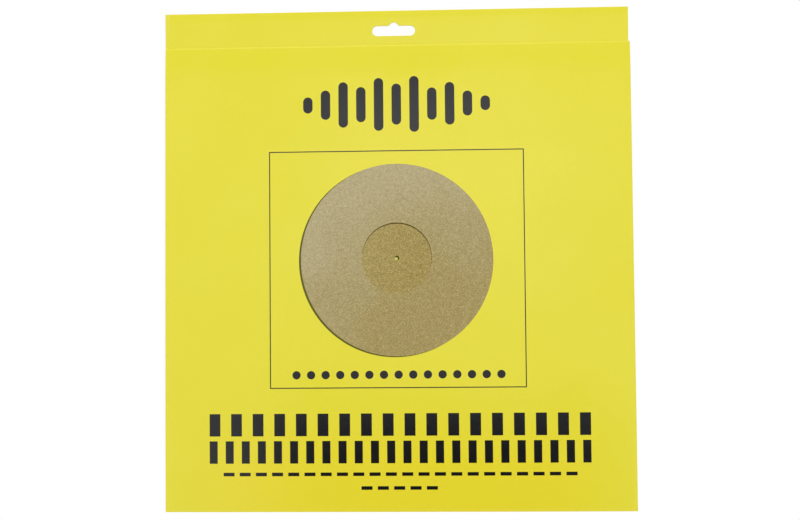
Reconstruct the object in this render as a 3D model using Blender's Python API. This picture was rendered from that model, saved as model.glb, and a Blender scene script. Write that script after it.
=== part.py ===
"""Hanging card pack: a flat sealed sleeve of folded card with a two-ply header and a hang slot.

The pack stands as it hangs: +Z is up, the printed front faces -Y, and the origin is the top of
the hang slot, halfway through the header, where a display peg carries the pack.
Front and back are two sheets of height over the same outline, joined by the folded or cut edges.
"""

from math import atan2, cos, hypot, pi, sin, sqrt

import bpy
from mathutils import Vector
from mathutils.geometry import delaunay_2d_cdt

# Folded card
CARD = 0.00045
BODY_WIDTH = 0.3155
BODY_HEIGHT = 0.3137
FRONT_RISE = 0.0018
BACK_RISE = 0.0018
FOLD_RADIUS = 0.0006
SHOULDER_HEIGHT = 0.0009

# Front panel: a slight crown, a fall towards the top crease, and lower corners that sag past the round mat
FRONT_CROWN = 0.0006
TOP_DROP = 0.0008
TOP_RUN = 0.0220
MAT_RADIUS = 0.1500
CORNER_SAG = 0.0008

# Seams on the back, where the back panel is glued over the two side flaps
SEAM_INSET = 0.0016
SEAM_RUN = 0.00012

# Header: its left end is flush with the body and a little taller, its right end is inset
HEADER_INSET = 0.0010
HEADER_HEIGHT_LEFT = 0.0242
HEADER_HEIGHT_RIGHT = 0.0239

# Hang slot: a round-ended bar with a low hump over its middle, rounded off where the two meet
SLOT_LENGTH = 0.0291
SLOT_BAR = 0.0068
HUMP_RISE = 0.0023
HUMP_RADIUS = 0.0030
HUMP_FILLET = 0.0024
SLOT_OVER_CREASE = 0.0069
SLOT_FROM_LEFT = 0.1563

# Printed frame round the picture
FRAME_FROM_LEFT = 0.0712
FRAME_OVER_BOTTOM = 0.0823
FRAME_WIDTH = 0.1720
FRAME_HEIGHT = 0.1599
FRAME_LINE = 0.0007

# Printed picture: a round mat with a shallow round recess and a small centre hole
DISC_RADIUS = 0.0647
DISC_FROM_LEFT = 0.1572
DISC_OVER_BOTTOM = 0.1683
RECESS_RADIUS = 0.0236
RECESS_LIFT = 0.0014
HOLE_RADIUS = 0.0015

# Printed rows of plain shapes, centred on the body's width
WAVE_HEIGHTS = (0.011, 0.020, 0.031, 0.024, 0.036, 0.028, 0.038, 0.022, 0.029, 0.017, 0.010)
WAVE_PITCH = 0.0120
WAVE_BAR = 0.0064
WAVE_UNDER_CREASE = 0.0402

DOT_COUNT = 15
DOT_PITCH = 0.0098
DOT_RADIUS = 0.0028
DOTS_OVER_BOTTOM = 0.0913

STROBE_LENGTH = 0.2550
STROBE_UPPER_COUNT = 18
STROBE_LOWER_COUNT = 24
STROBE_HEIGHT = 0.0150
STROBE_UPPER_OVER_BOTTOM = 0.0581
STROBE_LOWER_OVER_BOTTOM = 0.0399

DASH_LENGTH = 0.0074
DASH_HEIGHT = 0.0024
DASH_PITCH = 0.0109
DASH_LONG_COUNT = 22
DASH_LONG_OVER_BOTTOM = 0.0252
DASH_SHORT_COUNT = 5
DASH_SHORT_OVER_BOTTOM = 0.0160

# Fineness of the facets
FOLD_STEPS = 3
GRID_STEPS = 14
TOP_STEPS = 3
DISC_SIDES = 72
RECESS_SIDES = 40
SMALL_SIDES = 12
END_STEPS = 8
FILLET_STEPS = 3
SHARP_ANGLE = 25 * pi / 180

# Places that follow from the sizes, with the origin at the top of the hang slot
CREASE_Z = -(HUMP_RISE + SLOT_BAR + SLOT_OVER_CREASE)
BOTTOM_Z = CREASE_Z - BODY_HEIGHT
HEADER_Z = CREASE_Z + SHOULDER_HEIGHT
LEFT_X = -SLOT_FROM_LEFT
RIGHT_X = LEFT_X + BODY_WIDTH
MIDDLE_X = LEFT_X + BODY_WIDTH / 2
MIDDLE_Z = BOTTOM_Z + BODY_HEIGHT / 2
CORNER_REACH = hypot(BODY_WIDTH / 2, BODY_HEIGHT / 2) - MAT_RADIUS
HEADER_RIGHT_X = RIGHT_X - HEADER_INSET
TOP_LEFT_Z = CREASE_Z + HEADER_HEIGHT_LEFT
TOP_RIGHT_Z = CREASE_Z + HEADER_HEIGHT_RIGHT
SLOT_MIDDLE_Z = -HUMP_RISE - SLOT_BAR / 2

# Triangulation works in millimetres, where its tolerance is well under a facet
MILLIMETRES = 1000.0
MERGE_MM = 0.00001
POINTS_PER_METRE = 1e8


def clear_scene():
    for item in list(bpy.data.objects):
        bpy.data.objects.remove(item)


def plain_material(name, colour, roughness):
    """A Principled material of one colour, given as linear red, green and blue."""
    material = bpy.data.materials.new(name)
    material.use_nodes = True
    shader = material.node_tree.nodes["Principled BSDF"]
    shader.inputs["Base Color"].default_value = (*colour, 1.0)
    shader.inputs["Roughness"].default_value = roughness
    shader.inputs["Metallic"].default_value = 0.0
    material.diffuse_color = (*colour, 1.0)
    return material


def make_materials():
    """The pack's finishes, in slot order."""
    return [
        plain_material("yellow_card", (0.79, 0.73, 0.07), 0.38),
        plain_material("dark_ink", (0.020, 0.019, 0.024), 0.35),
        plain_material("cork_print", (0.44, 0.36, 0.17), 0.42),
        plain_material("recess_print", (0.40, 0.31, 0.10), 0.42),
        plain_material("board_edge", (0.62, 0.60, 0.54), 0.85),
    ]


CARD_SLOT, INK_SLOT, CORK_SLOT, RECESS_SLOT, EDGE_SLOT = range(5)


# Outlines, each a list of (x, z) points run anticlockwise as seen from the front

def circle(centre, radius, sides):
    turns = [2 * pi * side / sides for side in range(sides)]
    return [(centre[0] + radius * cos(turn), centre[1] + radius * sin(turn)) for turn in turns]


def arc(centre, radius, start, end, steps):
    turns = [start + (end - start) * step / steps for step in range(steps + 1)]
    return [(centre[0] + radius * cos(turn), centre[1] + radius * sin(turn)) for turn in turns]


def block(centre, width, height):
    x, z = centre
    side, rise = width / 2, height / 2
    return [(x - side, z - rise), (x + side, z - rise), (x + side, z + rise), (x - side, z + rise)]


def round_ended_bar(centre, width, height):
    """An upright bar with half-round ends."""
    x, z = centre
    reach = height / 2 - width / 2
    top = arc((x, z + reach), width / 2, 0.0, pi, END_STEPS)
    bottom = arc((x, z - reach), width / 2, pi, 2 * pi, END_STEPS)
    return top + bottom


def slot_outline():
    """The hang slot: round ends, a straight floor, and a hump that rises from the top edge."""
    end_radius = SLOT_BAR / 2
    reach = SLOT_LENGTH / 2 - end_radius
    fillet_z = HUMP_FILLET - HUMP_RISE
    climb = fillet_z + HUMP_RADIUS
    fillet_x = sqrt((HUMP_RADIUS + HUMP_FILLET) ** 2 - climb ** 2)
    lean = atan2(climb, fillet_x)
    right = arc((reach, SLOT_MIDDLE_Z), end_radius, -pi / 2, pi / 2, END_STEPS)
    right_fillet = arc((fillet_x, fillet_z), HUMP_FILLET, 3 * pi / 2, pi + lean, FILLET_STEPS)
    hump = arc((0.0, -HUMP_RADIUS), HUMP_RADIUS, lean, pi - lean, END_STEPS)
    left_fillet = arc((-fillet_x, fillet_z), HUMP_FILLET, -lean, -pi / 2, FILLET_STEPS)
    left = arc((-reach, SLOT_MIDDLE_Z), end_radius, pi / 2, 3 * pi / 2, END_STEPS)
    return right + right_fillet + hump[1:-1] + left_fillet + left


def seam_places():
    """The foot and the lip of each back seam, from left to right."""
    return [
        LEFT_X + SEAM_INSET,
        LEFT_X + SEAM_INSET + SEAM_RUN,
        RIGHT_X - SEAM_INSET - SEAM_RUN,
        RIGHT_X - SEAM_INSET,
    ]


def grid_places():
    """Even places across the body, without its two sides."""
    return [LEFT_X + BODY_WIDTH * column / GRID_STEPS for column in range(1, GRID_STEPS)]


def grid_heights():
    """Even heights up to where the panel starts to fall, then closer ones up to the crease."""
    start = CREASE_Z - TOP_RUN
    even = [BOTTOM_Z + (start - BOTTOM_Z) * row / GRID_STEPS for row in range(1, GRID_STEPS)]
    return even + [start + TOP_RUN * row / TOP_STEPS for row in range(TOP_STEPS)]


def pack_outline():
    """The whole pack's edge, with points close enough for its sides and bottom to bend."""
    bottom = [(x, BOTTOM_Z) for x in sorted(seam_places() + grid_places())]
    right = [(RIGHT_X, z) for z in grid_heights()]
    left = [(LEFT_X, z) for z in reversed(grid_heights())]
    header = [
        (RIGHT_X, CREASE_Z),
        (HEADER_RIGHT_X, HEADER_Z),
        (HEADER_RIGHT_X, TOP_RIGHT_Z),
        (LEFT_X, TOP_LEFT_Z),
        (LEFT_X, HEADER_Z),
        (LEFT_X, CREASE_Z),
    ]
    return [(LEFT_X, BOTTOM_Z)] + bottom + [(RIGHT_X, BOTTOM_Z)] + right + header + left


def row_of_places(count, pitch, over_bottom):
    """Centres of a row that is centred on the body's width."""
    first = MIDDLE_X - (count - 1) * pitch / 2
    return [(first + number * pitch, BOTTOM_Z + over_bottom) for number in range(count)]


def strobe_row(count, over_bottom):
    """Even blocks with gaps of their own width, from one end of the row to the other."""
    width = STROBE_LENGTH / (2 * count - 1)
    places = row_of_places(count, 2 * width, over_bottom)
    return [block(place, width, STROBE_HEIGHT) for place in places]


def dash_row(count, over_bottom):
    places = row_of_places(count, DASH_PITCH, over_bottom)
    return [block(place, DASH_LENGTH, DASH_HEIGHT) for place in places]


def printed_shapes():
    """The front's print as (outline, material slot), each painted over those before it."""
    frame_middle = (
        LEFT_X + FRAME_FROM_LEFT + FRAME_WIDTH / 2,
        BOTTOM_Z + FRAME_OVER_BOTTOM + FRAME_HEIGHT / 2,
    )
    disc = (LEFT_X + DISC_FROM_LEFT, BOTTOM_Z + DISC_OVER_BOTTOM)
    recess = (disc[0], disc[1] + RECESS_LIFT)
    shapes = [
        (block(frame_middle, FRAME_WIDTH, FRAME_HEIGHT), INK_SLOT),
        (block(frame_middle, FRAME_WIDTH - 2 * FRAME_LINE, FRAME_HEIGHT - 2 * FRAME_LINE), CARD_SLOT),
        (circle(disc, DISC_RADIUS, DISC_SIDES), CORK_SLOT),
        (circle(recess, RECESS_RADIUS, RECESS_SIDES), RECESS_SLOT),
        (circle(recess, HOLE_RADIUS, SMALL_SIDES), CARD_SLOT),
    ]
    wave_places = row_of_places(len(WAVE_HEIGHTS), WAVE_PITCH, BODY_HEIGHT - WAVE_UNDER_CREASE)
    inked = [round_ended_bar(place, WAVE_BAR, tall) for place, tall in zip(wave_places, WAVE_HEIGHTS)]
    dot_places = row_of_places(DOT_COUNT, DOT_PITCH, DOTS_OVER_BOTTOM)
    inked += [circle(place, DOT_RADIUS, SMALL_SIDES) for place in dot_places]
    inked += strobe_row(STROBE_UPPER_COUNT, STROBE_UPPER_OVER_BOTTOM)
    inked += strobe_row(STROBE_LOWER_COUNT, STROBE_LOWER_OVER_BOTTOM)
    inked += dash_row(DASH_LONG_COUNT, DASH_LONG_OVER_BOTTOM)
    inked += dash_row(DASH_SHORT_COUNT, DASH_SHORT_OVER_BOTTOM)
    return shapes + [(outline, INK_SLOT) for outline in inked]


# Heights of the two sheets over the header's middle plane

def body_share(z):
    """1 on the body, 0 on the header, and a straight slope on the shoulder between them."""
    return min(1.0, max(0.0, (HEADER_Z - z) / SHOULDER_HEIGHT))


def fold_drop(x, z):
    """How far a sheet falls away where it turns round the body's folded side or bottom."""
    inside = max(0.0, min(x - LEFT_X, RIGHT_X - x, z - BOTTOM_Z))
    if inside >= FOLD_RADIUS:
        return 0.0
    return FOLD_RADIUS - sqrt(FOLD_RADIUS ** 2 - (FOLD_RADIUS - inside) ** 2)


def crown(x, z):
    """The front panel's slight bulge over the mat, nearly flat in its middle."""
    across = (x - MIDDLE_X) / (BODY_WIDTH / 2)
    upward = (z - MIDDLE_Z) / (BODY_HEIGHT / 2)
    return FRONT_CROWN * max(0.0, 1.0 - across ** 4) * max(0.0, 1.0 - upward ** 4)


def top_fall(z):
    """The front panel bends back towards the crease, more steeply the nearer it comes."""
    share = min(1.0, max(0.0, (z - (CREASE_Z - TOP_RUN)) / TOP_RUN))
    return TOP_DROP * share ** 2


def corner_fall(x, z):
    """Towards its lower corners the panel sinks, where no mat lies behind it."""
    below = min(0.0, z - MIDDLE_Z)
    share = max(0.0, (hypot(x - MIDDLE_X, below) - MAT_RADIUS) / CORNER_REACH)
    return CORNER_SAG * share ** 2


def seam_drop(x):
    """The side flaps lie one card lower than the back panel that covers them."""
    inside = min(x - LEFT_X, RIGHT_X - x) - SEAM_INSET
    return CARD * (1.0 - min(1.0, max(0.0, inside / SEAM_RUN)))


def front_y(x, z):
    bulge = crown(x, z) - top_fall(z) - corner_fall(x, z)
    return -CARD - body_share(z) * (FRONT_RISE + bulge - fold_drop(x, z))


def back_y(x, z):
    return CARD + body_share(z) * (BACK_RISE - seam_drop(x) - fold_drop(x, z))


# Sheets

def fold_insets():
    """How far in from the folded edge each line of the round lies, the edge itself first."""
    return [FOLD_RADIUS * (1.0 - cos(pi / 2 * step / FOLD_STEPS)) for step in range(FOLD_STEPS + 1)]


def fold_lines():
    """Lines that follow the sides and bottom round the fold, from crease to crease."""
    lines = []
    for inset in fold_insets()[1:]:
        left, right, low = LEFT_X + inset, RIGHT_X - inset, BOTTOM_Z + inset
        down = [(left, z) for z in [CREASE_Z] + grid_heights()[::-1] + [low]]
        across = [(x, low) for x in grid_places()]
        up = [(right, z) for z in [low] + grid_heights() + [CREASE_Z]]
        lines.append(down + across + up)
    return lines


def crease_lines():
    """The body's top crease, and the crease where the shoulder meets the header."""
    crease = [(LEFT_X + inset, CREASE_Z) for inset in fold_insets()]
    crease += [(RIGHT_X - inset, CREASE_Z) for inset in reversed(fold_insets())]
    return [crease, [(LEFT_X, HEADER_Z), (HEADER_RIGHT_X, HEADER_Z)]]


def seam_lines():
    """Each seam's foot and lip, from the bottom edge to the top of the shoulder."""
    return [[(x, BOTTOM_Z), (x, HEADER_Z)] for x in seam_places()]


def grid_points():
    """Points inside the body, so that the panel can bend."""
    return [(x, z) for x in grid_places() for z in grid_heights()]


class Sheet:
    """Points, lines and closed outlines in the plane, triangulated together."""

    def __init__(self):
        self.points = []
        self.index_of = {}
        self.lines = []
        self.loops = []
        self.slots = []

    def point(self, place):
        key = (round(place[0] * POINTS_PER_METRE), round(place[1] * POINTS_PER_METRE))
        if key not in self.index_of:
            self.index_of[key] = len(self.points)
            self.points.append(Vector(place) * MILLIMETRES)
        return self.index_of[key]

    def line(self, places):
        indices = [self.point(place) for place in places]
        self.lines += list(zip(indices, indices[1:]))

    def loop(self, places, slot):
        """slot is the material inside the outline, or None where the outline is a hole."""
        self.loops.append([self.point(place) for place in places])
        self.slots.append(slot)

    def triangles(self):
        """Corner places, triangles as corner numbers, their material slots, and each point's corner."""
        result = delaunay_2d_cdt(self.points, self.lines, self.loops, 1, MERGE_MM, True)
        corners, _, faces, point_origins, _, face_origins = result
        places = [(corner.x / MILLIMETRES, corner.y / MILLIMETRES) for corner in corners]
        corner_of = {}
        for number, origins in enumerate(point_origins):
            for origin in origins:
                corner_of[origin] = number
        kept, slots = [], []
        for face, origins in zip(faces, face_origins):
            painted = [self.slots[origin] for origin in sorted(origins)]
            if painted and None not in painted:
                kept.append(face)
                slots.append(painted[-1])
        return places, kept, slots, corner_of


def front_sheet(outline, slot):
    sheet = Sheet()
    sheet.loop(outline, CARD_SLOT)
    sheet.loop(slot, None)
    for line in fold_lines() + crease_lines():
        sheet.line(line)
    for shape, ink in printed_shapes():
        sheet.loop(shape, ink)
    for place in grid_points():
        sheet.point(place)
    return sheet


def back_sheet(outline, slot):
    sheet = Sheet()
    sheet.loop(outline, CARD_SLOT)
    sheet.loop(slot, None)
    for line in fold_lines() + crease_lines() + seam_lines():
        sheet.line(line)
    return sheet


# Edges between the sheets

def outer_edge_slot(start, end):
    """Folded edges keep the card's colour, and the header's two cut ends show the board's core."""
    is_header_end = min(start[1], end[1]) == HEADER_Z
    return EDGE_SLOT if is_header_end else CARD_SLOT


def slot_edge_slot(start, end):
    return EDGE_SLOT


class Shell:
    """The closed skin: vertices, faces and each face's material slot."""

    def __init__(self):
        self.vertices = []
        self.faces = []
        self.slots = []

    def add_sheet(self, sheet, height, facing, rims):
        """Adds a sheet at its height, facing the front (1) or the back (-1); returns its rims."""
        places, triangles, paints, corner_of = sheet.triangles()
        first = len(self.vertices)
        self.vertices += [(x, height(x, z), z) for x, z in places]
        self.faces += [[first + corner for corner in triangle[::facing]] for triangle in triangles]
        self.slots += paints
        return [[first + corner_of[sheet.point(place)] for place in rim] for rim in rims]

    def add_walls(self, rim, front_rim, back_rim, facing, paint):
        """Joins the sheets along one rim, facing away from the outline's inside (1) or into it (-1)."""
        for here in range(len(rim)):
            there = (here + 1) % len(rim)
            wall = [front_rim[there], front_rim[here], back_rim[here], back_rim[there]]
            self.faces.append(wall[::facing])
            self.slots.append(paint(rim[here], rim[there]))


def make_shell():
    rims = (pack_outline(), slot_outline())
    shell = Shell()
    front_rims = shell.add_sheet(front_sheet(*rims), front_y, 1, rims)
    back_rims = shell.add_sheet(back_sheet(*rims), back_y, -1, rims)
    shell.add_walls(rims[0], front_rims[0], back_rims[0], 1, outer_edge_slot)
    shell.add_walls(rims[1], front_rims[1], back_rims[1], -1, slot_edge_slot)
    return shell


def make_pack(materials):
    shell = make_shell()
    mesh = bpy.data.meshes.new("card_pack")
    mesh.from_pydata(shell.vertices, [], shell.faces)
    for material in materials:
        mesh.materials.append(material)
    mesh.polygons.foreach_set("material_index", shell.slots)
    mesh.shade_smooth()
    mesh.set_sharp_from_angle(angle=SHARP_ANGLE)
    pack = bpy.data.objects.new("card_pack", mesh)
    bpy.context.scene.collection.objects.link(pack)
    return pack


def main():
    clear_scene()
    pack = make_pack(make_materials())
    print(pack.name, "faces", len(pack.data.polygons), "size", [round(side, 5) for side in pack.dimensions])


main()
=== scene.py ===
# %% [markdown]
# # A hanging pack of folded yellow card
#
# The object is a flat sleeve of coated card, about as big as a record sleeve. A round mat is sealed
# inside it. The front is printed in one dark ink, with a tan disc in a thin frame, and a header of two
# glued plies carries a hang slot. The lesson builds it the way a carton maker does: a flat sheet is
# printed and cut first, then creased, folded and dressed with its paper finish.

from math import atan2, cos, hypot, pi, radians, sin, sqrt

import bpy
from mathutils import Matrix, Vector
from mathutils.geometry import delaunay_2d_cdt


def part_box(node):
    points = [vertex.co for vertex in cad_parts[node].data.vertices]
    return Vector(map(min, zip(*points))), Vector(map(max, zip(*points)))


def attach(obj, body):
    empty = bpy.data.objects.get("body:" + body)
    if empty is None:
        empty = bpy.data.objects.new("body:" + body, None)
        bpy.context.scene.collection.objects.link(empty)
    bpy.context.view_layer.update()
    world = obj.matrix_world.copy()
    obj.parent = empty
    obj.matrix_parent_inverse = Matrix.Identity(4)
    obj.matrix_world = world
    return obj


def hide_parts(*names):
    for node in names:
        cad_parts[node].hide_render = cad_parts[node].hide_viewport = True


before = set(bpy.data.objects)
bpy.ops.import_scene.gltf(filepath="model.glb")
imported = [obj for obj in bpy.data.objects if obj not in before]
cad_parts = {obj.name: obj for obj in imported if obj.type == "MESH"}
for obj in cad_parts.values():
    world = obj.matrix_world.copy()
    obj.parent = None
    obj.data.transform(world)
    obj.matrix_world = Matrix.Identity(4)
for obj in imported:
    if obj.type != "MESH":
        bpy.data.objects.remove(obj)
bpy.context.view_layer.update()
pack_low, pack_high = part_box("card_pack")
print("solid pack from", [round(v, 4) for v in pack_low], "to", [round(v, 4) for v in pack_high])

# %% [markdown]
# ## The camera
#
# The pack hangs upright and faces -Y. The photograph was taken from just under its middle, with the
# lens turned slightly up and to the left. The four corners of the sleeve fix that place: a rectangle
# seen in perspective leaves only one camera for each lens. A normal lens of about 50 mm is assumed.

# %% Place the camera
CAMERA_PLACE = (0.0308, -0.7406, -0.1914)
CAMERA_UP_TILT = radians(2.307)
CAMERA_ROLL = radians(0.509)
CAMERA_TURN = radians(2.176)
SENSOR_MM = 36.0
LENS_MM = 49.5
NEAR_CLIP = 0.01

camera_data = bpy.data.cameras.new("front_camera")
camera_data.sensor_width = SENSOR_MM
camera_data.lens = LENS_MM
camera_data.clip_start = NEAR_CLIP
camera = bpy.data.objects.new("front_camera", camera_data)
camera.location = CAMERA_PLACE
camera.rotation_euler = (pi / 2 + CAMERA_UP_TILT, CAMERA_ROLL, CAMERA_TURN)
bpy.context.scene.collection.objects.link(camera)
bpy.context.scene.camera = camera
bpy.context.scene.view_settings.view_transform = "Standard"
print("camera", round((Vector(CAMERA_PLACE) - (pack_low + pack_high) / 2).length, 3), "m from the pack")

# %% [markdown]
# ## Writing node trees as sums
#
# Materials and Geometry Nodes are both trees of nodes, and most of their nodes only do sums. Wiring
# each sum by hand hides what is meant, so a small class wraps an output socket and lets Python's own
# signs add the Math nodes. Every other kind of node comes from one method.

# %% A socket that can be used in an expression
class Wire:
    """One output socket. Python's signs between wires and numbers add Math nodes."""

    def __init__(self, tree, socket):
        self.tree = tree
        self.socket = socket

    def output(self, name):
        """Another output of the same node."""
        return Wire(self.tree, self.socket.node.outputs[name])

    def maths(self, operation, *values):
        return self.tree.node("ShaderNodeMath", {"operation": operation}, dict(enumerate(values)))

    def __add__(self, value):
        return self.maths("ADD", self, value)

    def __sub__(self, value):
        return self.maths("SUBTRACT", self, value)

    def __rsub__(self, value):
        return self.maths("SUBTRACT", value, self)

    def __mul__(self, value):
        return self.maths("MULTIPLY", self, value)

    def __truediv__(self, value):
        return self.maths("DIVIDE", self, value)

    def at_least(self, value):
        return self.maths("MAXIMUM", self, value)

    def at_most(self, value):
        return self.maths("MINIMUM", self, value)

    def limited(self):
        """The same number, held between 0 and 1."""
        return self.at_least(0.0).at_most(1.0)

    def root(self):
        return self.maths("SQRT", self)


# %% A tree that takes nodes with their settings and inputs
class Tree:
    """A node tree of a material, the world or a Geometry Nodes group."""

    def __init__(self, data):
        self.data = data

    def fill(self, socket, value):
        """Links a wire to an input, or writes a number, colour, name or material there."""
        if isinstance(value, Wire):
            self.data.links.new(value.socket, socket)
        elif socket.type == "RGBA":
            socket.default_value = (*value, 1.0)
        else:
            socket.default_value = value

    def node(self, kind, settings=None, inputs=None):
        """Adds a node and gives its first output. Inputs go by name, or by number if names repeat."""
        node = self.data.nodes.new(kind)
        for name, value in (settings or {}).items():
            setattr(node, name, value)
        for name, value in (inputs or {}).items():
            self.fill(node.inputs[name], value)
        shown = [socket for socket in node.outputs if socket.enabled]
        return Wire(self, shown[0]) if shown else None

    def mix(self, factor, first, second):
        """A colour between two others."""
        settings = {"data_type": "RGBA", "clamp_factor": True}
        return self.node("ShaderNodeMix", settings, {0: factor, 6: first, 7: second})

    def noise(self, place, grain, detail, seed):
        """Soft blotches about one grain across, as a number round 0."""
        inputs = {"Vector": place, "W": seed, "Scale": 1.0 / grain, "Detail": detail}
        return self.node("ShaderNodeTexNoise", {"noise_dimensions": "4D"}, inputs) - 0.5


# %% [markdown]
# ## The floor, the white surround and the lamps
#
# The photograph is a plain studio shot: white behind, soft light all round, and a little more of it
# from above. A white world lights the pack evenly. The world that the lens and the gloss see is white
# at strength 1, and the lamps never have to burn it out. The pack hangs in its own frame, so the floor
# lies well under it and catches a soft shadow. Further off the floor turns into the white surround, as
# a paper sweep does.

# %% The world
WORLD_LIGHT = 0.905
WHITE = (1.0, 1.0, 1.0)

world = bpy.data.worlds.new("white_studio")
bpy.context.scene.world = world
world.use_nodes = True
world.node_tree.nodes.clear()
sky = Tree(world.node_tree)
rays = sky.node("ShaderNodeLightPath")
mirrored = rays.output("Is Glossy Ray").at_least(rays.output("Is Transmission Ray"))
seen_white = rays.output("Is Camera Ray").at_least(mirrored)
strength = seen_white * (1.0 - WORLD_LIGHT) + WORLD_LIGHT
backdrop = sky.node("ShaderNodeBackground", {}, {"Color": WHITE, "Strength": strength})
sky.node("ShaderNodeOutputWorld", {}, {"Surface": backdrop})
print("world light", WORLD_LIGHT)

# %% The floor
FLOOR_DROP = 0.28
FLOOR_SIDE = 12.0
SWEEP_START = 0.15
SWEEP_RUN = 0.22
FLOOR_WHITE = (0.90, 0.90, 0.90)

floor_z = pack_low.z - FLOOR_DROP
reach = FLOOR_SIDE / 2
floor_mesh = bpy.data.meshes.new("studio_floor")
floor_corners = [(-reach, -reach), (reach, -reach), (reach, reach), (-reach, reach)]
floor_mesh.from_pydata([(x, y, floor_z) for x, y in floor_corners], [], [(0, 1, 2, 3)])
floor = bpy.data.objects.new("studio_floor", floor_mesh)
bpy.context.scene.collection.objects.link(floor)

floor_paper = bpy.data.materials.new("floor_paper")
floor_paper.use_nodes = True
floor_paper.node_tree.nodes.clear()
paper = Tree(floor_paper.node_tree)
floor_place = paper.node("ShaderNodeTexCoord").output("Object")
distance = paper.node("ShaderNodeVectorMath", {"operation": "LENGTH"}, {0: floor_place})
from_pack = distance.output("Value")
sweep = ((from_pack + floor_z - SWEEP_START) / SWEEP_RUN).limited()
seen = paper.node("ShaderNodeLightPath").output("Is Camera Ray")
matt = paper.node("ShaderNodeBsdfDiffuse", {}, {"Color": FLOOR_WHITE})
white = paper.node("ShaderNodeEmission", {}, {"Color": WHITE, "Strength": 1.0})
lit_paper = paper.node("ShaderNodeMixShader", {}, {0: sweep * seen, 1: matt, 2: white})
paper.node("ShaderNodeOutputMaterial", {}, {"Surface": lit_paper})
floor_mesh.materials.append(floor_paper)
print("floor", FLOOR_DROP, "m under the pack")


# %% The lamps
def softbox(name, place, aim, width, height, power):
    """A large soft lamp at a place, turned to a point."""
    data = bpy.data.lights.new(name, "AREA")
    data.shape = "RECTANGLE"
    data.size = width
    data.size_y = height
    data.energy = power
    lamp = bpy.data.objects.new(name, data)
    lamp.location = place
    lamp.rotation_euler = (Vector(aim) - Vector(place)).to_track_quat("-Z", "Y").to_euler()
    bpy.context.scene.collection.objects.link(lamp)


PACK_MIDDLE = (pack_low + pack_high) / 2
softbox("overhead_softbox", (0.05, -1.10, 1.30), PACK_MIDDLE, width=1.6, height=1.0, power=8.0)
softbox("front_softbox", (0.05, -1.20, 0.02), PACK_MIDDLE, width=0.5, height=0.4, power=0.38)

# %% [markdown]
# The gloss of the card shows what is in front of it. In the photograph the ink is deep black low on
# the pack and greyer higher up, and the yellow is deeper just under the top crease, so the room is
# dark under the lens, and there is a dark band above it. Two black flags, which the lens doesn't see,
# stand for that.

# %% The black flags
FLAG_DISTANCE = 0.80
CLOTH_BLACK = (0.01, 0.01, 0.01)

black_cloth = bpy.data.materials.new("black_cloth")
black_cloth.use_nodes = True
black_cloth.node_tree.nodes.clear()
cloth = Tree(black_cloth.node_tree)
dark = cloth.node("ShaderNodeBsdfDiffuse", {}, {"Color": CLOTH_BLACK})
cloth.node("ShaderNodeOutputMaterial", {}, {"Surface": dark})


def flag(name, low, high):
    """A black board across the lens's side of the pack, from its low to its high (x, z) corner."""
    mesh = bpy.data.meshes.new(name)
    corners = [(low[0], low[1]), (high[0], low[1]), (high[0], high[1]), (low[0], high[1])]
    mesh.from_pydata([(x, -FLAG_DISTANCE, z) for x, z in corners], [], [(0, 1, 2, 3)])
    mesh.materials.append(black_cloth)
    board = bpy.data.objects.new(name, mesh)
    board.visible_camera = False
    bpy.context.scene.collection.objects.link(board)


flag("low_flag", (-0.21, -0.62), (0.29, -0.34))
flag("high_flag", (-0.50, 0.21), (0.50, 0.31))
print("flags", FLAG_DISTANCE, "m in front of the pack")

# %% [markdown]
# ## The sheet's sizes
#
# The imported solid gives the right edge, the bottom and the top of the header at its left end. The
# other sizes are the carton maker's own: the sleeve is 315.5 mm wide so that a mat of 300 mm slides
# in, and each crease, slot and printed shape is measured from the sleeve's left edge, its bottom or
# its top crease.

# %% Sizes of the folded card
CARD = 0.00045
BODY_WIDTH = 0.3155
BODY_HEIGHT = 0.3137
PANEL_RISE = 0.0018
FOLD_RADIUS = 0.0006
SHOULDER_HEIGHT = 0.0009
HEADER_INSET = 0.0010
TOP_SLANT = 0.0003
TOP_ROUND = 0.00034

RIGHT_X = pack_high.x
LEFT_X = RIGHT_X - BODY_WIDTH
MIDDLE_X = RIGHT_X - BODY_WIDTH / 2
BOTTOM_Z = pack_low.z
MIDDLE_Z = BOTTOM_Z + BODY_HEIGHT / 2
CREASE_Z = BOTTOM_Z + BODY_HEIGHT
HEADER_Z = CREASE_Z + SHOULDER_HEIGHT
HEADER_RIGHT_X = RIGHT_X - HEADER_INSET
TOP_LEFT_Z = pack_high.z
TOP_RIGHT_Z = TOP_LEFT_Z - TOP_SLANT
print("crease at", round(CREASE_Z, 4))
print("header top from", round(TOP_LEFT_Z, 4), "to", round(TOP_RIGHT_Z, 4))

# %% [markdown]
# ## Outlines
#
# A printed or cut shape is a closed list of (x, z) points. Straight sides are divided into short
# steps, because the sheet will bend later and a long edge couldn't follow it. Round stretches are arcs.

# %% Helpers for outlines
STEP = 0.004


def arc(centre, radius, start, end, sides):
    turns = [start + (end - start) * side / sides for side in range(sides + 1)]
    return [(centre[0] + radius * cos(turn), centre[1] + radius * sin(turn)) for turn in turns]


def circle(centre, radius, sides):
    return arc(centre, radius, 0.0, 2 * pi, sides)[:-1]


def stretch(start, end, step=STEP):
    """Even points from start up to, but without, end."""
    pieces = max(1, round(hypot(end[0] - start[0], end[1] - start[1]) / step))
    shares = [piece / pieces for piece in range(pieces)]
    return [(start[0] + (end[0] - start[0]) * s, start[1] + (end[1] - start[1]) * s) for s in shares]


def stepped(corners):
    """A closed outline through the corners, with short steps along each side."""
    sides = zip(corners, corners[1:] + corners[:1])
    return [point for start, end in sides for point in stretch(start, end)]


def block(centre, width, height):
    x, z = centre
    side = width / 2
    rise = height / 2
    return [(x - side, z - rise), (x + side, z - rise), (x + side, z + rise), (x - side, z + rise)]


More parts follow.
